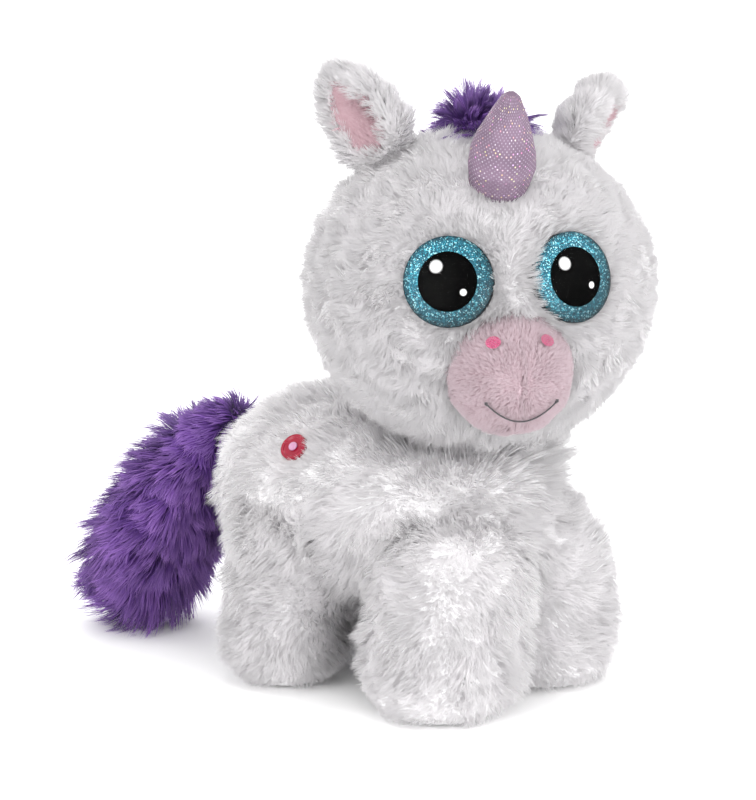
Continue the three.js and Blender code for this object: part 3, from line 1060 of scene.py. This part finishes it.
def plastic_paint(name, dark, light, roughness):
    """Moulded plastic with a fine grain in its colour, gloss and surface."""
    paint = Paint(name)
    grain = paint.noise(400.0, 4.0, 0.6)
    paint.surface(base_color=paint.ramp(grain, [(0.3, dark), (0.7, light)]))
    paint.surface(roughness=paint.remap(grain, 0.0, 1.0, roughness * 0.8, roughness * 1.2))
    paint.surface(normal=paint.bump(grain, 0.02 * MM))
    return paint.material


def make_eyes():
    lens = lens_paint()
    back = plastic_paint("eye_back", (0.01, 0.01, 0.012), (0.03, 0.03, 0.035), 0.4)
    natural = plastic_paint("lock_washer", (0.75, 0.74, 0.7), (0.86, 0.85, 0.82), 0.45)
    segments = 96
    for side, eye in EYES.items():
        inner, outer = eye.radius, IRIS_RADIUS
        low = Place(f"{side}_eye_iris", "flat", HEAD).low

        def dome(radius, above=0.0):
            return (radius, low + dome_height(radius) + above)

        steps = np.linspace(0, 1, 12)
        slope = [dome(outer - (outer - inner) * t) for t in steps]
        profile = [(inner, low), (outer - 0.3 * MM, low), *slope, (inner, low)]
        ring = lathe(f"{side}_eye_ring", eye, profile, segments)
        dress(ring, "head", glitter_paint(eye), [f"{side}_eye_iris"])

        edge, proud = inner - 0.02 * MM, 0.05 * MM
        top = [dome(edge * math.cos(t * math.pi / 2), proud) for t in steps[:-1]]
        profile = [(0, low), (edge, low), *top, dome(0, proud)]
        disc = lathe(f"{side}_eye_disc", eye, profile, segments)
        dress(disc, "head", pupil_paint(eye), [f"{side}_eye_pupil"])

        inside = [dome(outer * math.sin(t * math.pi / 2), LENS_INSIDE) for t in steps]
        outside = [dome(outer * math.cos(t * math.pi / 2), LENS_OUTSIDE) for t in steps[:-1]]
        profile = [*inside, *outside, dome(0, LENS_OUTSIDE)]
        shell = lathe(f"{side}_eye_dome", eye, profile, segments)
        dress(shell, "head", lens, [f"{side}_eye_lens"])
        repaint(NODES[f"{side}_eye_plate"], back)
        repaint(NODES[f"{side}_eye_washer"], natural)


# ---- ears


def make_ear(side):
    ear, seed = EARS[side], EAR_SEEDS[side]
    outer = soft_copy(f"{side}_ear_cloth", [f"{side}_ear_outer"], 1.6 * MM, 4)
    lining = soft_copy(f"{side}_ear_inner", [f"{side}_ear_lining"], 0.8 * MM, 3)
    hollow = coordinates(lining)
    opening = hollow.mean(0) - ear.centre
    opening = unit(opening - (opening @ ear.z) * ear.z)
    tree = tree_of(hollow)

    def from_lining(p):
        return np.array([tree.find(point)[2] for point in p])

    def rim_keep(p, n):
        return (from_lining(p) > 0.3 * MM) | (n @ opening < -0.1)

    def to_tip(p, n):
        over = (np.clip(from_lining(p) / (6 * MM), 0, 1) - 0.5)[:, None]
        return ear.z + over * unit(p - ear.centre)

    def pile_length(p, n):
        return np.clip(0.75 + from_lining(p) / (20 * MM), 0.75, 1) * 7 * MM

    def inner_keep(p, n):
        return n @ opening > 0

    def straight_up(p, n):
        return np.tile(ear.z, (len(p), 1))

    pile = grow(
        f"{side}_ear_pile", outer, WHITE_PILE, 17000, pile_length, to_tip, seed, keep=rim_keep,
        swirl=0.4, swirl_size=18 * MM, stray=0.4, tuft=14, grip=0.34, lean=(12, 60),
        width=0.36 * MM,
    )
    dress(pile, f"{side}_ear")
    short = grow(
        f"{side}_ear_inner_pile", lining, EAR_PILE, 13000, constant(4 * MM), straight_up,
        seed + 5, keep=inner_keep, swirl=0.3, tuft=16, grip=0.5, lean=(5, 45), width=0.3 * MM,
    )
    dress(short, f"{side}_ear")
    dress(outer, f"{side}_ear", WHITE_CLOTH, [f"{side}_ear_outer"])
    dress(lining, f"{side}_ear", EAR_CLOTH, [f"{side}_ear_lining"])


# ---- horn


HORN_GIRTH = 12.4 * MM
HORN_SHAPE = (  # height and radius, as shares of the horn's length and girth
    (0, 0.74), (0.12, 0.89), (0.3, 1.0), (0.45, 0.96), (0.6, 0.82), (0.75, 0.62), (0.88, 0.42),
    (0.96, 0.3), (1, 0.16),
)
HORN_LEAN = 1.2 * MM
DOT_PITCH = 1.35 * MM


def foil_paint():
    """Lilac cloth printed with rows of tiny foil dots, some of which flash red, green or blue."""
    paint = Paint("foil_fabric")
    uv = paint.node("UVMap", uv_map="dots").outputs[0]
    turned = paint.node("Mapping", {"Vector": uv, "Rotation": (0, 0, math.radians(45))}).outputs[0]
    dots = paint.node("TexVoronoi", {"Vector": turned, "Scale": 1.0, "Randomness": 0.0})
    mask = paint.remap(dots.outputs["Distance"], 0.15, 0.28, 1.0, 0.0)
    cell = paint.node("TexWhiteNoise", {"Vector": dots.outputs["Position"]})
    luck = cell.outputs["Value"]
    plain = paint.ramp(luck, [(0.6, (0.32, 0.26, 0.33)), (0.9, (0.75, 0.7, 0.78))])
    flash = paint.mix(0.55, plain, cell.outputs["Color"])
    dot_colour = paint.mix(paint.maths("GREATER_THAN", luck, 0.8), plain, flash)
    lilac = [(0.3, (0.13, 0.085, 0.13)), (0.7, (0.19, 0.125, 0.185))]
    cloth = paint.ramp(paint.noise(120.0), lilac)
    paint.surface(base_color=paint.mix(mask, cloth, dot_colour))
    paint.surface(metallic=paint.maths("MULTIPLY", mask, 0.75))
    paint.surface(roughness=paint.remap(mask, 0.0, 1.0, 0.7, 0.3))
    paint.surface(normal=paint.bump(mask, 0.12 * MM))
    return paint.material


def make_horn():
    """A stuffed cone of foil cloth, gathered into pleats at its blunt tip."""
    heights = (points_of("horn_skin") - HORN.centre) @ HORN.z
    base, tip = HORN.low - 3 * MM, heights.max()
    length = tip - base
    around, along = 144, 90
    verts, uvs = [], []
    for i in range(along + 1):
        t = i / along
        radius = HORN_GIRTH * np.interp(t, *zip(*HORN_SHAPE))
        pleat = 0.09 * np.clip((t - 0.62) / 0.3, 0, 1) + 0.008
        for j in range(around):
            turn = 2 * math.pi * j / around
            fold = 1 - pleat * (0.5 + 0.5 * math.cos(9 * turn + 1.5 * math.sin(3 * turn)))
            lump = 1 + 0.012 * math.sin(5 * turn + 9 * t) + 0.01 * math.sin(3 * turn - 14 * t)
            r = radius * fold * lump
            x, y = r * math.cos(turn) + HORN_LEAN * t * t, r * math.sin(turn)
            verts.append(HORN.at(x, y, base + t * length))
    bottom, top = len(verts), len(verts) + 1
    verts += [HORN.at(0, 0, base), HORN.at(HORN_LEAN, 0, tip - 0.7 * MM)]
    faces = []
    # a whole number of diagonals round the horn, so that the dots meet at the seam
    diagonal = 1.414
    per_turn = round(2 * math.pi * HORN_GIRTH / DOT_PITCH / diagonal) * diagonal
    for i in range(along):
        ring, above = i * around, (i + 1) * around
        for j in range(around):
            k = (j + 1) % around
            faces.append((ring + j, ring + k, above + k, above + j))
            for jj, ii in ((j, i), (j + 1, i), (j + 1, i + 1), (j, i + 1)):
                uvs.append((jj / around * per_turn, ii / along * length / DOT_PITCH))
    for j in range(around):
        k = (j + 1) % around
        faces.append((bottom, k, j))
        uvs += [(0, 0)] * 3
        faces.append((top, along * around + j, along * around + k))
        uvs += [(0, length / DOT_PITCH)] * 3
    mesh = bpy.data.meshes.new("horn")
    mesh.from_pydata([tuple(v) for v in verts], [], faces)
    mesh.shade_smooth()
    mesh.uv_layers.new(name="dots").data.foreach_set("uv", np.array(uvs, np.float32).ravel())
    dress(link("horn_cloth", mesh), "head", foil_paint(), ["horn_skin"])


# ---- mane and tail


def make_mane():
    base = soft_copy("mane_cloth", ["mane_strip"], 1.6 * MM, 4)
    co = coordinates(base)
    middle = co.mean(0)
    set_coordinates(base, middle + (co - middle) * 0.82 - UP * 4 * MM + SIDE * 3 * MM)

    def spread(p, n):
        return 1.3 * unit(p - middle) - 0.3 * FACE

    def upward(p, n):
        return n[:, 2] > -0.2

    pile = grow(
        "mane_pile", base, PURPLE_PILE, 9000, constant(12 * MM), spread, MANE_SEED, levels=5,
        keep=upward, swirl=0.5, swirl_size=12 * MM, tuft=30, grip=0.72, lean=(5, 50), rise=0.4,
        width=0.32 * MM, uneven=0.35,
    )
    dress(pile, "head")
    dress(base, "head", PURPLE_CLOTH, ["mane_strip"])


def tail_axis():
    low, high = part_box("tail_skin")
    end = np.array([(low.x + high.x) / 2, high.y - 10 * MM, low.z + 6 * MM])
    return unit(end - TAIL_ROOT), np.linalg.norm(end - TAIL_ROOT)


def off_tail_axis(p):
    """How far along the tail each point is, from 0 to 1, and its way out from the axis."""
    axis, span = tail_axis()
    along = (p - TAIL_ROOT) @ axis
    return along / span, p - TAIL_ROOT - along[:, None] * axis


def thin_tail(p):
    """Draws the tail in towards its axis, to leave room for its long pile."""
    share, off = off_tail_axis(p)
    return p - off * (1 - np.clip(0.62 + 0.28 * share, 0.6, 0.9))[:, None]


def make_tail():
    base = soft_copy("tail_cloth", ["tail_skin", "tail_stuffing"], 3 * MM, 8)
    set_coordinates(base, thin_tail(coordinates(base)))
    axis = tail_axis()[0]

    def down(p, n):
        share, off = off_tail_axis(p)
        share = np.clip(share, 0, 1)[:, None]
        swept = np.array([-0.6, 0.8, 0])
        return axis + (0.15 + 0.6 * share) * unit(off) + 0.7 * share**2 * swept

    def length(p, n):
        return (10 + 9 * np.clip(off_tail_axis(p)[0], 0, 1) ** 2) * MM

    pile = grow(
        "tail_pile", base, PURPLE_PILE, 27500, length, down, TAIL_SEED, levels=5, swirl=0.5,
        swirl_size=18 * MM, stray=0.4, tuft=26, grip=0.52, lean=(8, 64), rise=0.4,
        width=0.42 * MM, uneven=0.3, tufted=0.2, tuft_size=10 * MM,
    )
    dress(pile, "tail")
    dress(base, "tail", PURPLE_CLOTH, ["tail_skin"])


# ---- button


BUTTON_LIFT = 0.4 * MM  # it sits on the pressed-down pile


def make_button():
    red = plastic_paint("button_red", (0.24, 0.001, 0.018), (0.29, 0.003, 0.026), 0.1)
    pale = plastic_paint("button_centre", (0.42, 0.2, 0.33), (0.5, 0.27, 0.4), 0.15)
    r, low, high = BUTTON.radius, BUTTON.low + BUTTON_LIFT, BUTTON.high + BUTTON_LIFT
    dip = high - 0.6 * MM
    corners = [
        (0, low), (r * 0.85, low), (r, low + 0.5 * MM), (r * 0.95, high), (r * 0.78, high),
        (r * 0.68, dip), (0, dip),
    ]
    button = lathe("button", BUTTON, rounded(corners, 0.35 * MM), 64)
    dress(button, "torso", red, ["button_disc"])
    middle = Place("button_centre", "flat", TORSO)
    r, low, high = middle.radius, middle.low + BUTTON_LIFT, middle.high + BUTTON_LIFT
    corners = [(0, low), (r, low), (r * 0.9, high - 0.2 * MM), (0, high)]
    spot = lathe("button_spot", middle, rounded(corners, 0.15 * MM), 40)
    dress(spot, "torso", pale, ["button_centre"])
    repaint(NODES["button_shank"], red)


# ---- stuffing


def make_stuffing():
    """Lumps of crimped fibre inside each skin."""
    for node in sorted(n for n in NODES if n.endswith("stuffing")):
        body = NODES[node]["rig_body"]
        lump = joined(f"{node}_fibre", [node])
        size = max(lump.dimensions)
        remesh(lump, max(1.2 * MM, size / 28), 2)
        co = coordinates(lump)
        middle = (co.min(0) + co.max(0)) / 2
        co = middle + (co - middle) * 0.93
        if body == "tail":
            co = thin_tail(co)
        depth = 0.6 * MM * (1 + waves(co, 9 * MM, STUFFING_SEED))
        set_coordinates(lump, co - coordinates(lump, "normal") * depth[:, None])
        lump.data.shade_smooth()
        dress(lump, body, FIBRE, [node])


# ---- stage


def away(azimuth, elevation):
    """The way out from the middle of the picture, turned about +Z from the front."""
    turn, rise = math.radians(azimuth), math.radians(elevation)
    flat = math.cos(rise)
    return Vector((math.sin(turn) * flat, -math.cos(turn) * flat, math.sin(rise)))


def aim(obj, azimuth, elevation, distance):
    back = away(azimuth, elevation)
    obj.location = LOOK_AT + back * distance
    obj.rotation_euler = back.to_track_quat("Z", "Y").to_euler()


def make_camera():
    data = bpy.data.cameras.new("camera")
    data.lens = CAMERA["lens"]
    data.sensor_width = 36
    data.clip_end = 50
    camera = link("camera", data)
    aim(camera, CAMERA["azimuth"], CAMERA["elevation"], CAMERA["distance"])
    bpy.context.scene.camera = camera


def make_light(name, azimuth, elevation, distance, size, power):
    data = bpy.data.lights.new(name, "AREA")
    data.shape = "RECTANGLE"
    data.size, data.size_y = size
    data.energy = power
    aim(link(name, data), azimuth, elevation, distance)


def make_stage():
    """A white floor and sky, with broad soft lights all round."""
    bpy.ops.mesh.primitive_plane_add(size=60)
    floor = bpy.context.object
    floor.name = "floor"
    paint = Paint("floor")
    white = paint.ramp(paint.noise(3.0), [(0.3, (0.95, 0.95, 0.95)), (0.7, (0.96, 0.96, 0.96))])
    paint.surface(base_color=white, roughness=0.9)
    floor.data.materials.append(paint.material)
    world = bpy.data.worlds.new("world")
    bpy.context.scene.world = world
    world.use_nodes = True
    background = world.node_tree.nodes["Background"]
    background.inputs["Color"].default_value = (1, 1, 1, 1)
    background.inputs["Strength"].default_value = 1.1
    bpy.context.scene.view_settings.view_transform = "Standard"
    make_light("key", 15, 26, 1.6, (1.2, 1.0), 6)
    make_light("fill", -85, 16, 1.6, (1.0, 1.0), 11)
    make_light("rear", 140, 28, 1.7, (1.2, 1.0), 11)
    make_light("overhead", -20, 80, 2.0, (1.8, 1.8), 15)
    make_light("low", -25, 7, 1.7, (1.4, 0.5), 12)


make_camera()
make_body()
make_head()
make_muzzle()
make_stitches()
make_eyes()
make_ear("right")
make_ear("left")
make_horn()
make_mane()
make_tail()
make_button()
make_stuffing()
make_stage()
